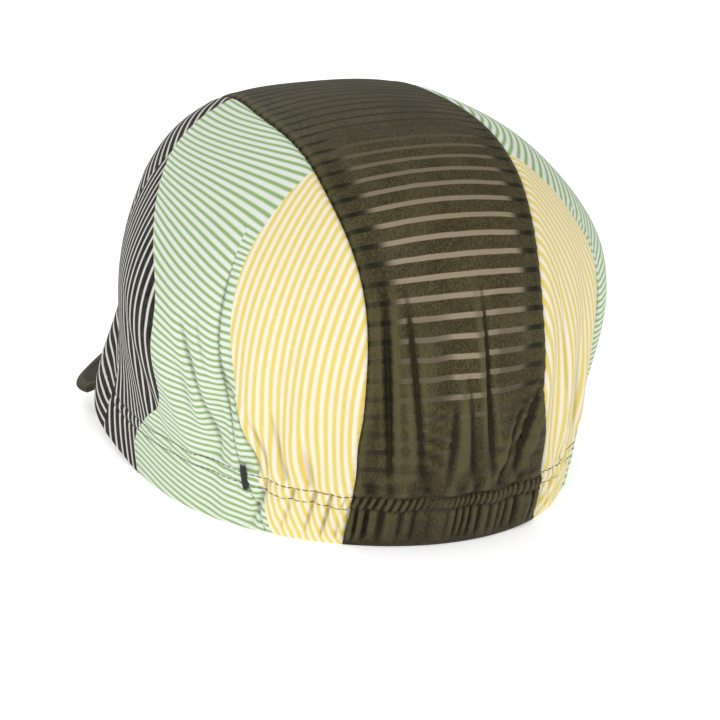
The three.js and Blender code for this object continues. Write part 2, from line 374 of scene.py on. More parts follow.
def sagRelief(azimuth, girth, height, up):
    # Between the creases the slack knit also sags into small wrinkles that run across them.
    low = smooth(up, *relief["sagStarts"]) * (1 - smooth(up, *relief["sagStops"]))
    low = low * (1 - smooth(azimuth, *relief["sagSides"]))
    bends = 1.7 * np.sin(girth / 4.3) + 1.6 * np.sin(girth / 9.7 + 2.0)
    swing = np.sin(2 * np.pi * (height + 2.4 * np.sin(height / 8.1)) / relief["sagPitch"] + bends)
    patches = 0.65 + 0.35 * np.sin(girth / 6.1 + height / 7.3)
    return relief["sagOut"] * low * swing * patches * smooth(np.abs(girth + 3), 4, 10)


def pleat(angle, fold):
    # Narrow valleys between flat tops.
    return fold["crest"] - fold["valley"] * np.cos(angle) ** fold["sharp"]


def pleatRelief(azimuth, girth, up, stitch, elastic):
    # The elastic draws the cloth into small pleats: tight ones between its two rows of stitches, wider ones
    # below. The firmer side cloth makes fewer folds, and they run on through both.
    rows, low, firmly = relief["rowPleat"], relief["hemPleat"], relief["firmPleat"]
    lower = stitch - stitchRows["spacing"]
    between = smooth(up, lower - 0.8, lower + 0.8) * (1 - smooth(up, stitch - 0.8, stitch + 0.8))
    below = (1 - smooth(up, lower - 1.2, lower + 0.4)) * smooth(up, -2, 9)
    drawn = elastic * (1 - relief["flatPart"] * bell(girth - relief["flatAt"], relief["flatWidth"]))
    firm = smooth(azimuth, *relief["firmFrom"])
    bold = pleat(np.pi * girth / firmly["pitch"] + 1.1 * np.sin(girth / 6.7) + 0.06 * (up - lower), firmly)
    turns = girth / rows["pitch"] + 0.5 * np.sin(girth / 8.3) + 0.12 * (up - lower)
    tight = mix(pleat(np.pi * turns, rows), bold, firm)
    turns = girth / low["pitch"] + 0.55 * np.sin(girth / 7.1 + 0.6) + 0.2 * np.sin(girth / 2.9)
    wide = mix(pleat(np.pi * turns, low), bold, firm)
    uneven = 0.7 + 0.3 * np.sin(girth / 5.3 + 1.0)
    return drawn * (rows["out"] * between * tight + low["out"] * uneven * below * wide)


def gatherRelief(girth, rise, radius):
    # Above the elastic each pleat runs out into a little gather of its own height.
    out = np.zeros(rise.shape)
    for fold in smallGathers:
        inside = (rise > 0) & (rise < fold["tall"])
        line = math.radians(fold["azimuth"]) * radius + fold["lean"] * rise
        ends = (1 - np.clip(rise / fold["tall"], 0, 1)) ** 1.3 * smooth(rise, 0, 2.5)
        rises = np.where(inside, ends, 0) * bell(girth - line, fold["width"])
        out += relief["gatherOut"] * fold["out"] * rises
    return out


def stitchRelief(girth, up, stitch, elastic):
    # Each row of stitches sinks in and the cloth swells between them. Off the elastic it puckers a little.
    middle = up - stitch + stitchRows["spacing"] / 2
    pucker = np.sin(2 * np.pi * girth / 5.8 + 1.4 * np.sin(girth / 17.0))
    out = 0.07 * (1 - elastic) * bell(middle, 5.0) * pucker + mix(0.08, 0.2, elastic) * bell(middle, 1.5)
    groove = mix(relief["stitchGroovePlain"], relief["stitchGroove"], elastic)
    for row in (0, 1):
        out -= groove * bell(up - stitch + row * stitchRows["spacing"], relief["stitchGrooveWidth"])
    return out


def fineOffset(direction):
    point = crownPoint(direction)
    azimuth = azimuthOf(direction)
    side = np.where(direction[..., 0] >= 0, 1, -1)
    radius = np.hypot(point[..., 0], point[..., 1])
    girth = side * np.radians(azimuth) * radius
    height = point[..., 2]
    up = height - hemLift(azimuth)
    stitch = upperStitchHeight(azimuth)
    reach = relief["elasticReach"]
    elastic = 1 - smooth(azimuth, reach - relief["elasticFade"], reach)
    out = seamRelief(direction, side) + dartRelief(azimuth, height, radius)
    out += creaseRelief(side * azimuth, height, radius) + sagRelief(azimuth, girth, height, up)
    out += pleatRelief(azimuth, girth, up, stitch, elastic) + gatherRelief(girth, up - stitch, radius)
    out += stitchRelief(girth, up, stitch, elastic)
    # Slack cloth: slow, shallow unevenness all over.
    slack = np.sin(point[..., 0] / 13.0 + 1.2) * np.sin(height / 17.0) * np.sin(point[..., 1] / 15.0 + 0.4)
    return out + relief["slackOut"] * slack * smooth(up, 18, 40)


def wallAt(height, lift):
    return mix(hem["wall"], cloth["wall"], smooth(height - lift - hem["height"], 0, cloth["wallBlend"]))


def rolledEdge(up, wall):
    # The turned-up hem ends in a round fold, so both faces draw in toward its middle.
    radius = wall / 2
    height = np.clip(up, 0, radius)
    return radius - np.sqrt(np.maximum(radius**2 - (radius - height) ** 2, 0))


def wallPair(direction, height=None):
    # Height is given through the hem, so that the fold stands exactly on its line.
    normal = crownNormal(direction)
    smoothPoint = crownPoint(direction)
    azimuth = azimuthOf(direction)
    lift = hemLift(azimuth)
    up = smoothPoint[..., 2] - lift
    calm = smooth(up, 0, 4)
    offset = calm * (foldOffset(direction) + fineOffset(direction))
    wall = wallAt(smoothPoint[..., 2], lift)
    roll = rolledEdge(up, wall)
    outer = smoothPoint + normal * (offset - roll)[..., None]
    inner = smoothPoint + normal * (cloth["insideFollows"] * offset - wall + roll)[..., None]
    low = smooth(up, 0.0, 3.0)
    outer[..., 2] = mix(smoothPoint[..., 2], outer[..., 2], low)
    inner[..., 2] = mix(smoothPoint[..., 2], inner[..., 2], low)
    return outer, inner, offset


def creaseShade(offset, reach):
    # How far each point stands above the cloth beside it in its row: plus on a ridge, minus in a crease.
    padded = np.pad(offset, ((0, 0), (reach, reach)), mode="edge")
    window = np.ones(2 * reach + 1) / (2 * reach + 1)
    return offset - np.apply_along_axis(lambda row: np.convolve(row, window, mode="valid"), 1, padded)


# Flat cloth coordinates in millimetres: u runs to the front, v up, from the middle of a side panel.
sideCut = {"azimuth": 85.0, "elevation": 8.0, "radius": 88.0}

# A print of plain stripes in three fields: yellow behind, green in the middle and black in front, where the
# stripes turn another way past the front edge. Each sway is a wave's height, its length and its start.
sidePrint = {
    "yellowPitch": 2.45,  # 3.7 mm on the cloth, because the flat plan draws the back a third short
    "yellowSway": (1.5, 31.0, 0.0),
    "greenPitch": 2.55,
    "greenLow": 6.0,  # the green lines' slope in degrees, low on the panel, above its middle and at its top
    "greenHigh": 23.0,
    "greenTop": 2.0,
    "greenBends": ((-38.0, 16.0), (22.0, 76.0)),  # heights v over which the slope changes
    "greenPivot": -35.0,
    "greenBehindDart": 5.0,
    "dartEnds": (25.0, 45.0),  # the lines on its two sides come together between these heights v
    "blackPitch": 4.7,
    "blackLean": 8.0,
    "blackSway": (1.2, 19.0, 0.0),
    "yellowTo": -64.0,  # where the fields meet, in u
    "yellowToSway": (4.0, 25.0, 12.0),
    "greenTo": -25.0,
    "greenToAtHem": 14.0,
    "greenToAtTop": 16.0,
    "greenToBends": ((-58.0, -22.0), (8.0, 66.0)),
    "greenToSway": (-7.0, 29.0, 25.0),
    "frontTo": 33.0,
    "frontToSlope": 0.3,
    "frontToSway": (5.0, 17.0, 0.0),
    "frontLean": -58.0,
    "frontPitch": 3.9,
}


def sway(v, name):
    out, length, start = sidePrint[name]
    return out * np.sin((v + start) / length)


def sideCutPlace(direction):
    azimuth, elevation = math.radians(sideCut["azimuth"]), math.radians(sideCut["elevation"])
    middle = ringDirection(np.array(azimuth), np.array(elevation), 1)
    forward = unit(np.cross(middle, np.array([0.0, 0.0, 1.0])))
    upward = np.cross(forward, middle)
    mirrored = direction.copy()
    mirrored[..., 0] = np.abs(mirrored[..., 0])
    u = mirrored @ forward
    v = mirrored @ upward
    spread = np.hypot(u, v) + 1e-9
    angle = np.arccos(np.clip(mirrored @ middle, -1, 1))
    return sideCut["radius"] * angle * u / spread, sideCut["radius"] * angle * v / spread


def sidePrintPlaces(u, v):
    lowBend, highBend = sidePrint["greenBends"]
    slope = np.radians(mix(sidePrint["greenLow"], sidePrint["greenHigh"], smooth(v, *lowBend)))
    slope = mix(slope, math.radians(sidePrint["greenTop"]), smooth(v, *highBend))
    turned = mix(math.radians(sidePrint["greenBehindDart"]), slope, smooth(v, *sidePrint["dartEnds"]))
    yellow = (u + sway(v, "yellowSway")) / sidePrint["yellowPitch"]
    ahead = (v - (u - sidePrint["greenPivot"]) * np.tan(slope)) / sidePrint["greenPitch"]
    behind = (v - (u - sidePrint["greenPivot"]) * np.tan(turned)) / sidePrint["greenPitch"]
    lean = math.radians(sidePrint["blackLean"])
    black = (u * math.cos(lean) + v * math.sin(lean) + sway(v, "blackSway")) / sidePrint["blackPitch"]
    yellowEdge = u - sidePrint["yellowTo"] - sway(v, "yellowToSway")
    hemBend, topBend = sidePrint["greenToBends"]
    greenTo = mix(sidePrint["greenToAtHem"], sidePrint["greenTo"], smooth(v, *hemBend))
    greenTo = mix(greenTo, sidePrint["greenToAtTop"], smooth(v, *topBend))
    blackEdge = u - greenTo - sway(v, "greenToSway")
    frontEdge = u - sidePrint["frontTo"] + sidePrint["frontToSlope"] * v - sway(v, "frontToSway")
    turns = np.stack([yellow, ahead, behind], axis=-1)
    return turns, np.stack([yellowEdge, blackEdge, black], axis=-1), frontEdge


def panelMesh(name, outer, inner, places, flip):
    # Outer and inner face in one closed skin, the inner one with the second material. Flip turns the winding.
    rows, columns = outer.shape[:2]
    count = rows * columns
    shift = np.array([0.0, crown["centreBehindOrigin"], 0.0])
    points = np.concatenate([outer.reshape(-1, 3), inner.reshape(-1, 3)]) + shift
    index = np.arange(count).reshape(rows, columns)
    a, b = index[:-1, :-1], index[:-1, 1:]
    c, d = index[1:, 1:], index[1:, :-1]
    skin = np.stack([a, b, c, d], axis=-1).reshape(-1, 4)
    lining = skin[:, ::-1] + count
    rim = np.concatenate([index[0, :], index[1:, -1], index[-1, -2::-1], index[-2:0:-1, 0], index[0, :1]])
    edges = np.stack([rim[1:], rim[:-1], rim[:-1] + count, rim[1:] + count], axis=-1)
    faces = np.concatenate([skin, lining, edges])
    if flip:
        faces = faces[:, ::-1]
    mesh = bpy.data.meshes.new(name)
    mesh.from_pydata((points * mm).tolist(), [], faces.tolist())
    finish = np.zeros(len(faces), dtype=np.int32)
    finish[len(skin) : len(skin) + len(lining)] = 1
    mesh.polygons.foreach_set("material_index", finish)
    for layerName, values in places.items():
        layer = mesh.attributes.new(layerName, "FLOAT_VECTOR", "POINT")
        layer.data.foreach_set("vector", np.tile(values.reshape(-1, 3), (2, 1)).ravel())
    return mesh


weld = {"merge": 2e-6, "sliver": 1e-6}  # in metres


def cleanObject(name, mesh):
    # Joins the doubled points at tips and folds, and turns every face outward.
    piece = bpy.data.objects.new(name, mesh)
    bpy.context.scene.collection.objects.link(piece)
    work = bmesh.new()
    work.from_mesh(mesh)
    bmesh.ops.remove_doubles(work, verts=work.verts, dist=weld["merge"])
    bmesh.ops.dissolve_degenerate(work, edges=work.edges, dist=weld["sliver"])
    bmesh.ops.recalc_face_normals(work, faces=work.faces)
    work.to_mesh(mesh)
    work.free()
    mesh.validate()
    mesh.polygons.foreach_set("use_smooth", [True] * len(mesh.polygons))
    mesh.update()
    return piece


# Heights of the mesh's rows up the hem, closest together in its round fold.
hemRows = [0.0, 0.05, 0.18, 0.4, 0.75, 1.2, 1.9, 2.8, 4.0, 5.2, 6.4, 7.6, 8.8, 10.0, 11.2, 12.4, 13.6]
hemRows += [14.4, 15.2, 16.0, 16.8, 17.6, 18.4, 19.2, 20.0, 20.8, 21.6, 22.3, 23.0]

# A crease is judged against this many points on each side of it: reach across the rows, rise from row to row.
centrePanel = {"rows": 196, "across": 180, "shadeReach": 6, "shadeRise": 2, "risePart": 0.65}
sidePanel = {"columns": 320, "rows": 100, "rearBias": 0.35, "shadeReach": 4}

olive = {
    "ground": "342f1b",
    "groundLight": "564f35",
    # The pale of a sheer line is partly painted light shining through the thin knit; sheerFaint is the line
    # closed up.
    "sheer": "958771",
    "sheerFaint": "232013",
    # ridge is a painted highlight on the fold ridges, and crease is painted shade deep in the creases
    "ridge": "5e593c",
    "crease": "1c1a10",
    "roughness": 0.6,
    "specular": 0.1,
    "stripePitch": 7.0,
    "stripeWide": 1.95,
    "seamStrip": 8.6,  # width of the seam allowance, which shows dark behind the sheer lines
    "slackTop": (66.0, 100.0),  # the knit hangs slack up to these heights
    "slackSides": (6.0, 12.0),
    "slackPart": 0.6,
    "rearRises": (40.0, 66.0),
    "frontPart": 0.5,
    "fadesAlong": (136.0, 212.0),
    "fadedPart": 0.05,
}


def sheerSeen(across, along, edge, height, rear, shade):
    # The sheer lines are painted pale, as light shining through the thin knit, where the knit is drawn
    # smooth, and close up where it is slack or doubled. Deep in a crease they are darkened too, as painted
    # shade.
    strip = olive["seamStrip"]
    seen = smooth(edge, strip - 1.0, strip + 4.5)
    slack = (1 - smooth(height, *olive["slackTop"])) * smooth(np.abs(across + 2), *olive["slackSides"])
    seen = seen * (1 - slack * olive["slackPart"])
    seen = seen * np.where(rear, smooth(height, *olive["rearRises"]), olive["frontPart"])
    seen = seen * mix(1, olive["fadedPart"], smooth(along, *olive["fadesAlong"]))
    # Painted shade: deep in a crease the lines are darkened.
    seen = seen * (1 - 0.8 * smooth(-shade, 0.05, 0.5))
    inside = smooth(edge, strip - 3, strip + 3) * (1 - smooth(along, 150, 212))
    return np.maximum(np.maximum(seen, 0.15 * inside), 0.075 * (1 - smooth(height, 40, 85)))


def makeCentrePanel():
    shift = -cloth["seamGap"] / 2
    across = np.linspace(-1, 1, centrePanel["across"] + 1)
    arcs = [arcAtHeight(np.abs(across), height, False, shift) for height in hemRows]
    back = arcs[-1]
    frontHeights = [height + hem["rise"] for height in reversed(hemRows)]
    frontRows = [arcAtHeight(np.abs(across), height, True, shift) for height in frontHeights]
    for step in range(1, centrePanel["rows"]):
        arcs.append(mix(back, frontRows[0], step / centrePanel["rows"]))
    arcs = np.array(arcs + frontRows)
    tilt = across[None, :] * (seamTilt(arcs, shift) + seamSwing(arcs, np.sign(across)[None, :]))
    direction = archDirection(arcs, tilt)
    outer, inner, offset = wallPair(direction)
    along = np.interp(arcs, arcTable, lengthTable)
    acrossPlace = across[None, :] * (panelHalfWidth(arcs) + shift)
    edge = panelHalfWidth(arcs) - np.abs(acrossPlace)
    shade = creaseShade(offset, centrePanel["shadeReach"])
    shade = shade + centrePanel["risePart"] * creaseShade(offset.T, centrePanel["shadeRise"]).T
    height = outer[..., 2]
    seen = sheerSeen(acrossPlace, along, edge, height, outer[..., 1] > 0, shade)
    places = {
        "clothPlace": np.stack([acrossPlace, along, edge], axis=-1),
        "clothState": np.stack([seen, shade, height - hemLift(azimuthOf(direction))], axis=-1),
    }
    return cleanObject("centre_panel_cloth", panelMesh("centrePanel", outer, inner, places, True))


def makeSidePanel(side):
    shift = cloth["seamGap"] / 2
    along = np.linspace(0, 1, sidePanel["columns"] + 1)
    along = mix(along, along**2, sidePanel["rearBias"])  # closer columns where the elastic gathers
    one = np.array([1.0])
    rows = []
    for height in hemRows:
        ends = []
        for atFront, lift in ((False, 0.0), (True, hem["rise"])):
            arc = arcAtHeight(one, height + lift, atFront, shift)
            ends.append(np.radians(azimuthOf(archDirection(arc, seamTilt(arc, shift))))[0])
        azimuth = mix(ends[0], ends[1], along)
        rows.append(directionAtHeight(azimuth, height + hemLift(np.degrees(azimuth)), side))
    bandTop = rows[-1]
    rearArc = arcAtHeight(one, hem["height"], False, shift)[0]
    frontArc = arcAtHeight(one, hem["height"] + hem["rise"], True, shift)[0]
    arcs = mix(rearArc, frontArc, along)
    seamEnd = archDirection(arcs, side * (seamTilt(arcs, shift) + seamSwing(arcs, side)))
    for row in range(1, sidePanel["rows"] + 1):
        rows.append(unit(mix(bandTop, seamEnd, row / sidePanel["rows"])))
    direction = np.array(rows)
    outer, inner, offset = wallPair(direction)
    u, v = sideCutPlace(direction)
    azimuth = azimuthOf(direction)
    radius = np.hypot(outer[..., 0], outer[..., 1])
    fromDart = np.radians(azimuth - dartAzimuthAt(outer[..., 2])) * radius
    turns, borders, frontEdge = sidePrintPlaces(u, v)
    shade = creaseShade(offset, sidePanel["shadeReach"])
    dartSeen = 1 - smooth(outer[..., 2], relief["dartTop"] - 5, relief["dartTop"])
    places = {
        "clothPlace": np.stack([u, v, fromDart], axis=-1),
        "clothState": np.stack([dartSeen, shade, frontEdge], axis=-1),
        "stripeTurns": turns,
        "printBorders": borders,
    }
    name = "side_panel_left_cloth" if side > 0 else "side_panel_right_cloth"
    return cleanObject(name, panelMesh(name, outer, inner, places, side > 0))


peak = {
    "rootFrom": 137.0,
    "rootInset": 0.6,
    "gapUnderHem": 0.3,
    "edgeHalfWidth": 76.0,
    "edgeMiddle": 80.0,
    "edgeDepth": 56.0,
    "edgePower": 2.6,
    "frontSlope": -0.02,
    "sideSlope": 0.42,
    "bend": 1.15,
    "wall": 3.4,
    "binding": 3.8,  # the folded strip sewn round the free edge
    "bindingOut": 0.3,
    "coverSunk": 0.3,  # the wall's faces lie this much inside its half width
    "seamAt": 0.62,  # the binding's seam, as a part of its width
    "seamGroove": 0.16,
    "columns": 150,
}


def peakMiddle(across, out):
    side = np.where(across < 0, -1.0, 1.0)
    turn = np.abs(across) * math.pi / 2
    azimuth = np.radians(mix(180.0, peak["rootFrom"], np.abs(across)))
    lift = hemLift(np.degrees(azimuth))
    direction = directionAtHeight(azimuth, lift, side)
    root = crownPoint(direction)
    level = crownNormal(direction)
    level[..., 2] = 0
    root = root - unit(level) * (hem["wall"] + peak["rootInset"])
    edgeX = side * peak["edgeHalfWidth"] * np.sin(turn) ** (2 / peak["edgePower"])
    reachY = np.maximum(np.cos(turn), 0) ** (2 / peak["edgePower"])
    edgeY = -peak["edgeMiddle"] - peak["edgeDepth"] * reachY
    reach = np.hypot(edgeX - root[..., 0], edgeY - root[..., 1])
    slope = mix(peak["frontSlope"], peak["sideSlope"], np.sin(turn) ** 2)
    x = mix(root[..., 0], edgeX, out)
    y = mix(root[..., 1], edgeY, out)
    z = lift - peak["gapUnderHem"] - slope * reach * out ** peak["bend"]
    return stack(x, y, z - peak["wall"] / 2), reach * (1 - out)


def makePeak():
    nose = [0.0, 0.0015, 0.005, 0.011, 0.019, 0.028, 0.038, 0.05]
    outs = 1 - np.concatenate([nose, np.linspace(0.065, 1, 46)])
    ends = [0.0, 0.0010, 0.004, 0.009, 0.016, 0.024, 0.034]
    half = np.concatenate([1 - np.array(ends), np.linspace(0.955, 0, peak["columns"] // 2)])
    acrosses = np.concatenate([-half, half[-2::-1]])
    across, out = np.meshgrid(acrosses, outs)
    middle, fromEdge = peakMiddle(across, out)
    steps = np.linalg.norm(np.diff(middle, axis=1), axis=2)
    run = np.concatenate([np.zeros((len(outs), 1)), np.cumsum(steps, axis=1)], axis=1)
    fromEnd = np.minimum(run, run[:, -1:] - run)
    radius = peak["wall"] / 2

    def roundOff(distance):
        return np.sqrt(np.maximum(1 - (1 - np.clip(distance / radius, 0, 1)) ** 2, 0))

    halfWall = radius * roundOff(fromEdge) * roundOff(fromEnd)
    free = np.minimum(fromEdge, fromEnd)
    strip = 1 - smooth(free, peak["binding"] - 0.35, peak["binding"] + 0.25)
    swell = peak["bindingOut"] * strip * (halfWall / radius)
    groove = peak["seamGroove"] * bell(free - peak["seamAt"] * peak["binding"], 0.5)
    half = halfWall - peak["coverSunk"] + swell - groove
    top = middle.copy()
    top[..., 2] += half
    low = middle.copy()
    low[..., 2] -= half
    place = stack(middle[..., 0], middle[..., 1], free)
    return cleanObject("peak_cloth", panelMesh("peakCover", top, low, {"clothPlace": place}, False))


def threadMesh(name, paths, normals, radius, sides=7):
    # Each path is one stitch: a short tube that narrows and dives into the cloth at both ends.
    count, points = paths.shape[:2]
    along = unit(np.gradient(paths, axis=1))
    across = unit(np.cross(along, normals))
    upright = np.cross(across, along)
    t = np.linspace(0, 1, points)
    taper = np.sqrt(np.clip(1 - (2 * t - 1) ** 6, 0.06, 1))
    turn = np.linspace(0, 2 * math.pi, sides, endpoint=False)
    spoke = across[:, :, None] * np.cos(turn)[:, None] + upright[:, :, None] * np.sin(turn)[:, None]
    ring = paths[:, :, None] + spoke * (radius * taper)[:, None, None]
    index = np.arange(count * points * sides).reshape(count, points, sides)
    nextSide = np.roll(index, -1, axis=2)
    tube = np.stack([index[:, :-1], index[:, 1:], nextSide[:, 1:], nextSide[:, :-1]], axis=-1).reshape(-1, 4)
    caps = np.concatenate([index[:, 0], index[:, -1][:, ::-1]])
    mesh = bpy.data.meshes.new(name)
    shift = np.array([0.0, crown["centreBehindOrigin"], 0.0])
    vertices = (ring.reshape(-1, 3) + shift) * mm
    mesh.from_pydata(vertices.tolist(), [], tube.tolist() + caps.tolist())
    return mesh


thread = {
    "radius": 0.15,
    "pitch": 2.8,  # one stitch and the gap after it
    "length": 2.78,
    "proud": 0.12,  # how far the middle of a stitch stands off the cloth
    "sunk": 0.05,
    "tackUp": 24.0,  # the dart's foot, where the bar-tack is sewn
    "tackBehind": 0.6,
    "tackAround": 92.0,  # the crown's radius there
    "tackWidth": 2.4,
    "tackLow": -6.2,  # the bar-tack's ends, from the upper row of stitches
    "tackHigh": 3.6,
    "tackPasses": 5,
    "tackPitch": 0.42,
    "tackRadius": 0.24,
    "tackOut": 0.7,
    "tackLanes": 0.42,  # the outer lengthwise threads, as a part of the width
    "tackSunk": 0.4,
    "tackProud": 0.35,
    "tackTilt": 0.16,
    "peakInset": 3.0,
    "peakPitch": 3.2,
    "peakSunk": 0.1,
}


def hemDirection(azimuthSigned, up):
    azimuth = np.abs(azimuthSigned)
    side = np.where(azimuthSigned >= 0, 1.0, -1.0)
    return directionAtHeight(np.radians(azimuth), up + hemLift(azimuth), side)


def hemSurface(azimuthSigned, up):
    direction = hemDirection(azimuthSigned, up)
    return wallPair(direction)[0], crownNormal(direction)


def stitchPlaces(line, fine, first, last, pitch):
    # Points along each stitch of a row, as values of the parameter that the line was drawn with.
    run = np.concatenate([[0], np.cumsum(np.linalg.norm(np.diff(line, axis=0), axis=1))])
    starts = np.arange(first, run[-1] - last, pitch)
    t = np.linspace(0, 1, 6)
    place = np.interp(starts[:, None] + t[None, :] * thread["length"], run, fine)
    return place, mix(-thread["sunk"], thread["proud"], np.sin(np.pi * t) ** 0.6)


def makeHemStitches(row):
    # The rows run right round the crown except where the peak is sewn in at the front.
    fine = np.linspace(-176, 176, 3001)
    drop = row * stitchRows["spacing"]
    line = hemSurface(fine, upperStitchHeight(np.abs(fine)) - drop)[0]
    place, lift = stitchPlaces(line[:, :2], fine, 1.5 + row * 1.1, 4, thread["pitch"])
    surface, normal = hemSurface(place, upperStitchHeight(np.abs(place)) - drop)
    return surface + normal * lift[None, :, None], normal


def tackSurface(azimuthSigned, up):
    # A bar-tack presses the cloth flat, so it follows the crown and not the small relief.
    direction = hemDirection(azimuthSigned, up)
    normal = crownNormal(direction)
    return crownPoint(direction) + normal * (foldOffset(direction)[..., None] + thread["tackOut"]), normal


def makeBarTack(side):
    centre = side * (dartAzimuthAt(thread["tackUp"]) - thread["tackBehind"])
    base = upperStitchHeight(np.array(abs(centre)))
    paths, normals = [], []
    t = np.linspace(0, 1, 6)
    wide = thread["tackWidth"] / (math.radians(1) * thread["tackAround"])
    for lane in np.linspace(-thread["tackLanes"], thread["tackLanes"], thread["tackPasses"]):
        azimuth = np.full(6, centre + lane * wide)
        surface, normal = tackSurface(azimuth, base + mix(thread["tackLow"], thread["tackHigh"], t))
        paths.append(surface + normal * mix(-thread["tackSunk"], 0.0, np.sin(np.pi * t) ** 0.3)[:, None])
        normals.append(normal)
    tall = thread["tackHigh"] - thread["tackLow"]
    for step in range(int(tall / thread["tackPitch"])):
        up = base + thread["tackLow"] + (step + 0.5) * thread["tackPitch"]
        tilt = thread["tackTilt"] * (-1) ** step
        surface, normal = tackSurface(centre + (t - 0.5) * wide, up + tilt * (t - 0.5) * 2)
        lift = mix(-thread["tackSunk"], thread["tackProud"], np.sin(np.pi * t) ** 0.5)
        paths.append(surface + normal * lift[:, None])
        normals.append(normal)
    return np.array(paths), np.array(normals)


def peakInsetLine(across):
    reach = peakMiddle(across, np.zeros_like(across))[1]
    return peakMiddle(across, 1 - thread["peakInset"] / reach)[0]


def makePeakStitches():
    fine = np.linspace(-0.985, 0.985, 1501)
    place, lift = stitchPlaces(peakInsetLine(fine), fine, 1.0, 3, thread["peakPitch"])
    surface = peakInsetLine(place)
    half = peak["wall"] / 2 - peak["coverSunk"] + peak["bindingOut"] - thread["peakSunk"]
    normal = np.zeros_like(surface)
    normal[..., 2] = 1
    out = normal * (half + lift[None, :])[..., None]
    return np.concatenate([surface + out, surface - out]), np.concatenate([normal, -normal])


print("stage: panels")
centre = makeCentrePanel()
left = makeSidePanel(1)
right = makeSidePanel(-1)
peakBoard = makePeak()
for piece, node in (
    (centre, "centre_panel"),
    (left, "side_panel_left"),
    (right, "side_panel_right"),
    (peakBoard, "peak"),
):
    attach(piece, "root")
    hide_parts(node)
    print(piece.name, len(piece.data.polygons))

print("stage: threads")
sewing = []
for name, (paths, normals), radius in (
    ("hem_stitches_upper", makeHemStitches(0), thread["radius"]),
    ("hem_stitches_lower", makeHemStitches(1), thread["radius"]),
    ("bar_tack_left", makeBarTack(1), thread["tackRadius"]),
    ("bar_tack_right", makeBarTack(-1), thread["tackRadius"]),
    ("peak_stitches", makePeakStitches(), thread["radius"]),
):
    piece = cleanObject(name, threadMesh(name, paths, normals, radius))
    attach(piece, "root")
    sewing.append(piece)
    print(name, len(piece.data.polygons))


def hexColour(code):
    # An sRGB hex value as the linear colour that a socket takes.
    channels = [int(code[start : start + 2], 16) / 255 for start in (0, 2, 4)]
    linear = [c / 12.92 if c <= 0.04045 else ((c + 0.055) / 1.055) ** 2.4 for c in channels]
    return (*linear, 1.0)


def addNode(tree, kind, inputs=None, **settings):
    # Adds one shader node with its settings. An input that is a socket, or a node for its first output, is
    # linked, and any other is the input's own value.
    node = tree.nodes.new("ShaderNode" + kind)
    for name, value in settings.items():
        setattr(node, name, value)
    for key, value in (inputs or {}).items():
        if isinstance(value, bpy.types.Node):
            value = value.outputs[0]
        if isinstance(value, bpy.types.NodeSocket):
            tree.links.new(value, node.inputs[key])
        else:
            node.inputs[key].default_value = value
    return node


def startMaterial(name):
    material = bpy.data.materials.new(name)
    material.use_nodes = True
    material.node_tree.nodes.clear()
    return material, material.node_tree


def finishMaterial(tree, colour, normal, roughness, specular, **surface):
    shader = addNode(tree, "BsdfPrincipled", {"Base Color": colour, "Normal": normal})
    shader.inputs["Roughness"].default_value = roughness
    shader.inputs["Specular IOR Level"].default_value = specular
    for key, value in surface.items():
        shader.inputs[key.replace("_", " ")].default_value = value
    addNode(tree, "OutputMaterial", {"Surface": shader})


# Real threads lie about 0.25 mm apart. They are drawn at twice that, so that the grain shows.
weave = {
    "pitch": 0.55,
    "strength": 0.55,
    "distance": 0.00018,
    "lineStep": -1.6,  # the knit is thinner along a sheer line
}


def addWeave(tree, place, strength, line=None):
    # Slubs along both thread directions: one noise drawn out across the cloth and one up it.
    heights = []
    for stretch in ((1.0, 0.4, 1.0), (0.4, 1.0, 1.0)):
        turned = addNode(tree, "Mapping", {"Vector": place, "Scale": stretch})
        grain = {"Vector": turned, "Scale": 1 / weave["pitch"], "Detail": 2.0}
        heights.append(addNode(tree, "TexNoise", grain))
    both = addNode(tree, "Math", {0: heights[0], 1: heights[1]}, operation="ADD")
    height = both
    if line is not None:
        stepped = {0: line, 1: weave["lineStep"], 2: both}
        height = addNode(tree, "Math", stepped, operation="MULTIPLY_ADD")
    relieved = {"Height": height, "Strength": strength, "Distance": weave["distance"]}
    return both, addNode(tree, "Bump", relieved)


def readLayer(tree, name):
    # A layer of values that the mesh carries, whole and in its three parts.
    whole = addNode(tree, "Attribute", attribute_name=name).outputs["Vector"]
    return whole, addNode(tree, "SeparateXYZ", {0: whole}).outputs


def addStripes(tree, turns, wobble, waver, half, soft):
    # One on each stripe and nought between them. The turns count the stripes, and the wobble sways them.
    wavy = addNode(tree, "Math", {0: wobble, 1: waver, 2: turns}, operation="MULTIPLY_ADD")
    fold = addNode(tree, "Math", {0: wavy, 1: 0.5}, operation="PINGPONG")
    span = {0: fold, 1: half - soft, 2: half + soft, 3: 1.0, 4: 0.0}
    return addNode(tree, "MapRange", span, interpolation_type="SMOOTHSTEP")


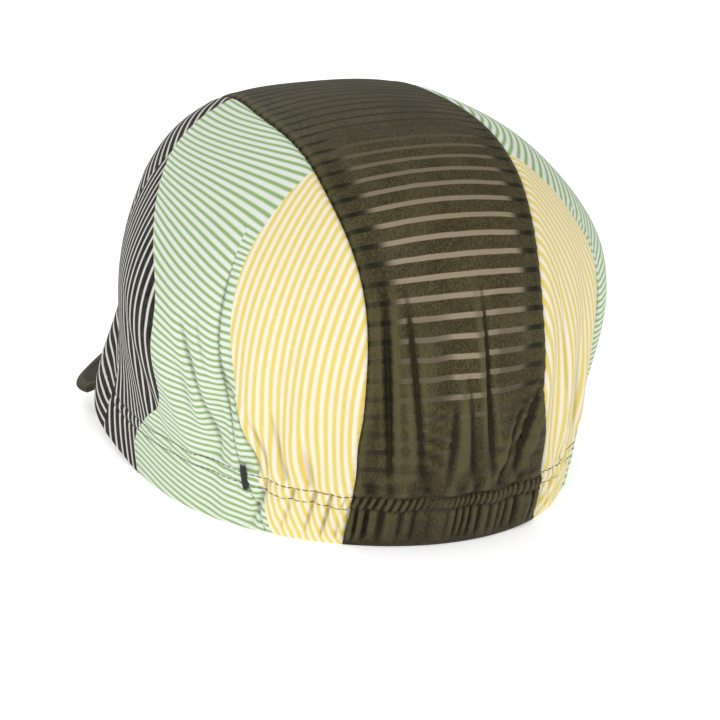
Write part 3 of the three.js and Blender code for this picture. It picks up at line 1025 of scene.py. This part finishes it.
def makeOliveKnit():
    # Polyester knit, dyed and finished smooth: a dull olive, whose soft sheen on each fold is painted in as a
    # highlight on the ridges. Every 7 mm the knit opens into a sheer line, and the pale cloth inside shows
    # through it; that pale is partly painted light shining through the thin knit.
    material, tree = startMaterial("polyesterKnit")
    place, placeParts = readLayer(tree, "clothPlace")
    seen, crease, aboveHem = readLayer(tree, "clothState")[1]
    turns = addNode(tree, "Math", {0: placeParts[1], 1: olive["stripePitch"]}, operation="DIVIDE")
    wobble = addNode(tree, "TexNoise", {"Vector": place, "Scale": 0.12, "Detail": 1.0})
    line = addStripes(tree, turns, wobble, 0.06, olive["stripeWide"] / olive["stripePitch"] / 2, 0.02)
    grain, normal = addWeave(tree, place, weave["strength"], line)

    cloud = addNode(tree, "TexNoise", {"Vector": place, "Scale": 0.06, "Detail": 3.0})
    blotch = addNode(tree, "MapRange", {0: cloud, 1: 0.35, 2: 0.7, 3: 0.0, 4: 0.45})
    speck = addNode(tree, "MapRange", {0: grain, 1: 0.8, 2: 1.25, 3: -0.25, 4: 0.85})
    shade = addNode(tree, "Math", {0: blotch, 1: speck}, operation="ADD")
    # Painted light and shade: ridges are painted lighter as a highlight, and the cloth deep in a crease is
    # painted darker as shade.
    high = addNode(tree, "MapRange", {0: crease, 1: 0.05, 2: 0.45, 3: 0.0, 4: 0.7})
    deep = addNode(tree, "MapRange", {0: crease, 1: -0.06, 2: -0.55, 3: 0.0, 4: 0.75})
    # Sheer lines, their pale partly painted light shining through the knit.
    sheer = {0: seen, 6: hexColour(olive["sheerFaint"]), 7: hexColour(olive["sheer"])}
    sheer = addNode(tree, "Mix", sheer, data_type="RGBA").outputs[2]
    light, paintedHighlight, paintedCreaseShade = (hexColour(olive[name]) for name in ("groundLight", "ridge", "crease"))
    colour = hexColour(olive["ground"])
    for amount, over in ((shade, light), (line, sheer), (high, paintedHighlight), (deep, paintedCreaseShade)):
        colour = addNode(tree, "Mix", {0: amount, 6: colour, 7: over}, data_type="RGBA").outputs[2]
    # The colour is darkened towards the bottom: by a fifth at the hem's edge, and not at all from 50 mm above
    # it.
    darkerLow = addNode(tree, "MapRange", {0: aboveHem, 1: 4.0, 2: 50.0, 3: 0.8, 4: 1.0})
    colour = addNode(tree, "VectorMath", {0: colour, "Scale": darkerLow}, operation="SCALE")
    finishMaterial(tree, colour, normal, olive["roughness"], olive["specular"])
    return material


printed = {
    "yellow": {"ground": "f2ead8", "ink": "e6d170", "inkPart": 0.52},
    "green": {"ground": "e3e9df", "ink": "8fb06e", "inkPart": 0.42},
    "black": {"ground": "dcd8d0", "ink": "120f0b", "inkPart": 0.7},
    "softness": 0.22,  # of a printed edge, in millimetres
    "lineSoftness": 1.6,  # how much softer a thin line's edge is
    "crease": "8f8a7e",
    "dartSeamAndShadow": "3c4a34",
    "dartStitch": 1.3,
    "reverse": "f1eee6",
    "reversePart": 0.72,
    "roughness": 0.78,
    "specular": 0.12,
}


def makePrintedPolyester(name, reverse):
    # White polyester with dye printed into it: matt and even, with soft-edged lines and no raised ink.
    material, tree = startMaterial(name)
    place, placeParts = readLayer(tree, "clothPlace")
    height, fromDart = placeParts[1:]
    yellowTurns, aheadTurns, behindTurns = readLayer(tree, "stripeTurns")[1]
    yellowEdge, blackEdge, blackTurns = readLayer(tree, "printBorders")[1]
    dartSeen, crease, frontEdge = readLayer(tree, "clothState")[1]
    normal = addWeave(tree, place, weave["strength"])[1]
    wobble = addNode(tree, "TexNoise", {"Vector": place, "Scale": 0.09, "Detail": 1.0})
    uneven = addNode(tree, "TexNoise", {"Vector": place, "Scale": 0.5, "Detail": 3.0})
    ahead = addNode(tree, "Math", {0: fromDart, 1: 0.0}, operation="GREATER_THAN")
    greenTurns = addNode(tree, "Mix", {0: ahead, 2: behindTurns, 3: aheadTurns})

    lean = math.radians(sidePrint["frontLean"])
    acrossFront = (math.cos(lean) / sidePrint["frontPitch"], math.sin(lean) / sidePrint["frontPitch"], 0.0)
    frontTurns = addNode(tree, "VectorMath", {0: place, 1: acrossFront}, operation="DOT_PRODUCT")
    inFront = addNode(tree, "Math", {0: frontEdge, 1: 0.0}, operation="GREATER_THAN")
    blackTurns = addNode(tree, "Mix", {0: inFront, 2: blackTurns, 3: frontTurns.outputs["Value"]})

    depth = addNode(tree, "MapRange", {0: uneven, 1: 0.3, 2: 0.7, 3: 0.95, 4: 1.0})
    striped = {}
    for field, lineTurns in (("yellow", yellowTurns), ("green", greenTurns), ("black", blackTurns)):
        soft = printed["softness"] / sidePrint[field + "Pitch"] * printed["lineSoftness"]
        ink = addStripes(tree, lineTurns, wobble, 0.05, printed[field]["inkPart"] / 2, soft)
        amount = addNode(tree, "Math", {0: ink, 1: depth}, operation="MULTIPLY")
        colours = {0: amount, 6: hexColour(printed[field]["ground"]), 7: hexColour(printed[field]["ink"])}
        striped[field] = addNode(tree, "Mix", colours, data_type="RGBA").outputs[2]
    colour = striped["yellow"]
    for border, field in ((yellowEdge, "green"), (blackEdge, "black")):
        beyond = addNode(tree, "MapRange", {0: border, 1: -printed["softness"], 2: printed["softness"]})
        fieldMix = {0: beyond, 6: colour, 7: striped[field]}
        colour = addNode(tree, "Mix", fieldMix, data_type="RGBA").outputs[2]
    # The dart's seam shows as a fine dark line, broken at each stitch: partly the seam itself and partly
    # painted shadow in its groove.
    away = addNode(tree, "Math", {0: fromDart}, operation="ABSOLUTE")
    thin = addNode(tree, "MapRange", {0: away, 1: 0.08, 2: 0.34, 3: 0.5, 4: 0.0})
    stitch = addNode(tree, "Math", {0: height, 1: printed["dartStitch"]}, operation="PINGPONG")
    dashed = addNode(tree, "MapRange", {0: stitch, 1: 0.25, 2: 0.55, 3: 0.35, 4: 1.0})
    drawn = addNode(tree, "Math", {0: thin, 1: dashed}, operation="MULTIPLY")
    shown = addNode(tree, "Math", {0: drawn, 1: dartSeen}, operation="MULTIPLY")
    seam = {0: shown, 6: colour, 7: hexColour(printed["dartSeamAndShadow"])}
    colour = addNode(tree, "Mix", seam, data_type="RGBA").outputs[2]
    # Cloth deep in a crease is in its own shadow.
    deep = addNode(tree, "MapRange", {0: crease, 1: -0.12, 2: -0.7, 3: 0.0, 4: 0.55})
    shaded = {0: deep, 6: (1, 1, 1, 1), 7: hexColour(printed["crease"])}
    shaded = {0: 1.0, 6: colour, 7: addNode(tree, "Mix", shaded, data_type="RGBA").outputs[2]}
    colour = addNode(tree, "Mix", shaded, data_type="RGBA", blend_type="MULTIPLY").outputs[2]
    if reverse:
        # The dye hardly comes through to the inside of the cloth.
        paler = {0: printed["reversePart"], 6: colour, 7: hexColour(printed["reverse"])}
        colour = addNode(tree, "Mix", paler, data_type="RGBA").outputs[2]
    finishMaterial(tree, colour, normal, printed["roughness"], printed["specular"])
    return material


drill = {
    "cover": "252016",
    "coverLight": "362f22",
    "binding": "4b4732",
    "edge": "3a3526",
    "weavePart": 1.3,
    "roughness": 0.78,
    "specular": 0.25,
}


def makeCottonDrill():
    # Cotton drill stretched over a plastic stiffener: flat and dull, with a paler bound edge.
    material, tree = startMaterial("cottonDrill")
    place, placeParts = readLayer(tree, "clothPlace")
    free = placeParts[2]
    grain, normal = addWeave(tree, place, weave["strength"] * drill["weavePart"])
    speck = addNode(tree, "MapRange", {0: grain, 1: 0.7, 2: 1.35, 3: 0.0, 4: 1.0})
    bound = {0: free, 1: peak["binding"] - 0.15, 2: peak["binding"] + 0.15, 3: 1.0, 4: 0.0}
    bound = addNode(tree, "MapRange", bound)
    rim = addNode(tree, "MapRange", {0: free, 1: 0.5, 2: 1.3, 3: 0.8, 4: 0.0})
    colour = hexColour(drill["cover"])
    for amount, over in ((speck, "coverLight"), (bound, "binding"), (rim, "edge")):
        layer = {0: amount, 6: colour, 7: hexColour(drill[over])}
        colour = addNode(tree, "Mix", layer, data_type="RGBA").outputs[2]
    finishMaterial(tree, colour, normal, drill["roughness"], drill["specular"])
    return material


twist = {"dark": "15130f", "light": "35322b", "scale": 4200.0, "strength": 0.5, "distance": 0.00006}


def makeSewingThread():
    # Spun polyester thread: near black, with a faint gloss along its twist.
    material, tree = startMaterial("polyesterThread")
    place = addNode(tree, "NewGeometry")
    fibre = addNode(tree, "TexNoise", {"Vector": place, "Scale": twist["scale"], "Detail": 1.0})
    colour = {0: fibre, 6: hexColour(twist["dark"]), 7: hexColour(twist["light"])}
    colour = addNode(tree, "Mix", colour, data_type="RGBA").outputs[2]
    bump = {"Height": fibre, "Strength": twist["strength"], "Distance": twist["distance"]}
    finishMaterial(tree, colour, addNode(tree, "Bump", bump), 0.5, 0.5)
    return material


print("stage: materials")
knit = makeOliveKnit()
printedFace = makePrintedPolyester("printedPolyester", False)
printedBack = makePrintedPolyester("printedReverse", True)
peakCover = makeCottonDrill()
for piece, face, back, slot in (
    (centre, knit, knit, "centre_cloth"),
    (left, printedFace, printedBack, "side_cloth"),
    (right, printedFace, printedBack, "side_cloth"),
    (peakBoard, peakCover, peakCover, "peak_cloth"),
):
    piece.data.materials.append(face)
    piece.data.materials.append(back)
sewingThread = makeSewingThread()
for piece in sewing:
    piece.data.materials.append(sewingThread)

print("stage: studio")
studio = {"floorHalf": 15, "paper": "fbfbfb", "paperGlow": 0.42, "world": 0.56}
half = studio["floorHalf"]
floorMesh = bpy.data.meshes.new("floor")
corners = [(-half, -half, 0), (half, -half, 0), (half, half, 0), (-half, half, 0)]
floorMesh.from_pydata(corners, [], [(0, 1, 2, 3)])
floor = bpy.data.objects.new("floor", floorMesh)
bpy.context.scene.collection.objects.link(floor)
paper, paperTree = startMaterial("whitePaper")
fibre = addNode(paperTree, "TexNoise", {"Scale": 300.0, "Detail": 2.0})
dimple = addNode(paperTree, "Bump", {"Height": fibre, "Strength": 0.05, "Distance": 0.0001})
glow = {"Emission_Color": (1.0, 1.0, 1.0, 1.0), "Emission_Strength": studio["paperGlow"]}
finishMaterial(paperTree, hexColour(studio["paper"]), dimple, 0.9, 0.1, **glow)
floorMesh.materials.append(paper)

view = {"place": (0.4019, 1.0042, 0.3321), "aim": (-0.0036, 0.0193, 0.0419), "lens": 147.6, "sensor": 36}
camera = bpy.data.objects.new("camera", bpy.data.cameras.new("camera"))
bpy.context.scene.collection.objects.link(camera)
camera.location = view["place"]
camera.rotation_euler = (Vector(view["aim"]) - camera.location).to_track_quat("-Z", "Y").to_euler()
camera.data.lens = view["lens"]
camera.data.sensor_width = view["sensor"]
bpy.context.scene.camera = camera
bpy.context.scene.view_settings.view_transform = "Standard"

# Wide soft lamps, all turned to the crown's middle. Power is in watts and the diameter in metres.
lamps = {
    "keyLight": {"place": (0.75, 1.45, 1.35), "size": 0.5, "power": 13.5},
    "fillLight": {"place": (-1.4, 1.0, 0.8), "size": 1.3, "power": 0.6},
    "frontLight": {"place": (0.2, -1.5, 1.3), "size": 1.2, "power": 8},
}
for name, lamp in lamps.items():
    light = bpy.data.lights.new(name, "AREA")
    light.shape = "DISK"
    light.size = lamp["size"]
    light.energy = lamp["power"]
    holder = bpy.data.objects.new(name, light)
    holder.location = lamp["place"]
    holder.rotation_euler = (Vector((0, 0, 0.06)) - holder.location).to_track_quat("-Z", "Y").to_euler()
    bpy.context.scene.collection.objects.link(holder)
world = bpy.data.worlds.new("studio")
bpy.context.scene.world = world
world.use_nodes = True
world.node_tree.nodes["Background"].inputs["Color"].default_value = (1.0, 1.0, 1.0, 1.0)
world.node_tree.nodes["Background"].inputs["Strength"].default_value = studio["world"]
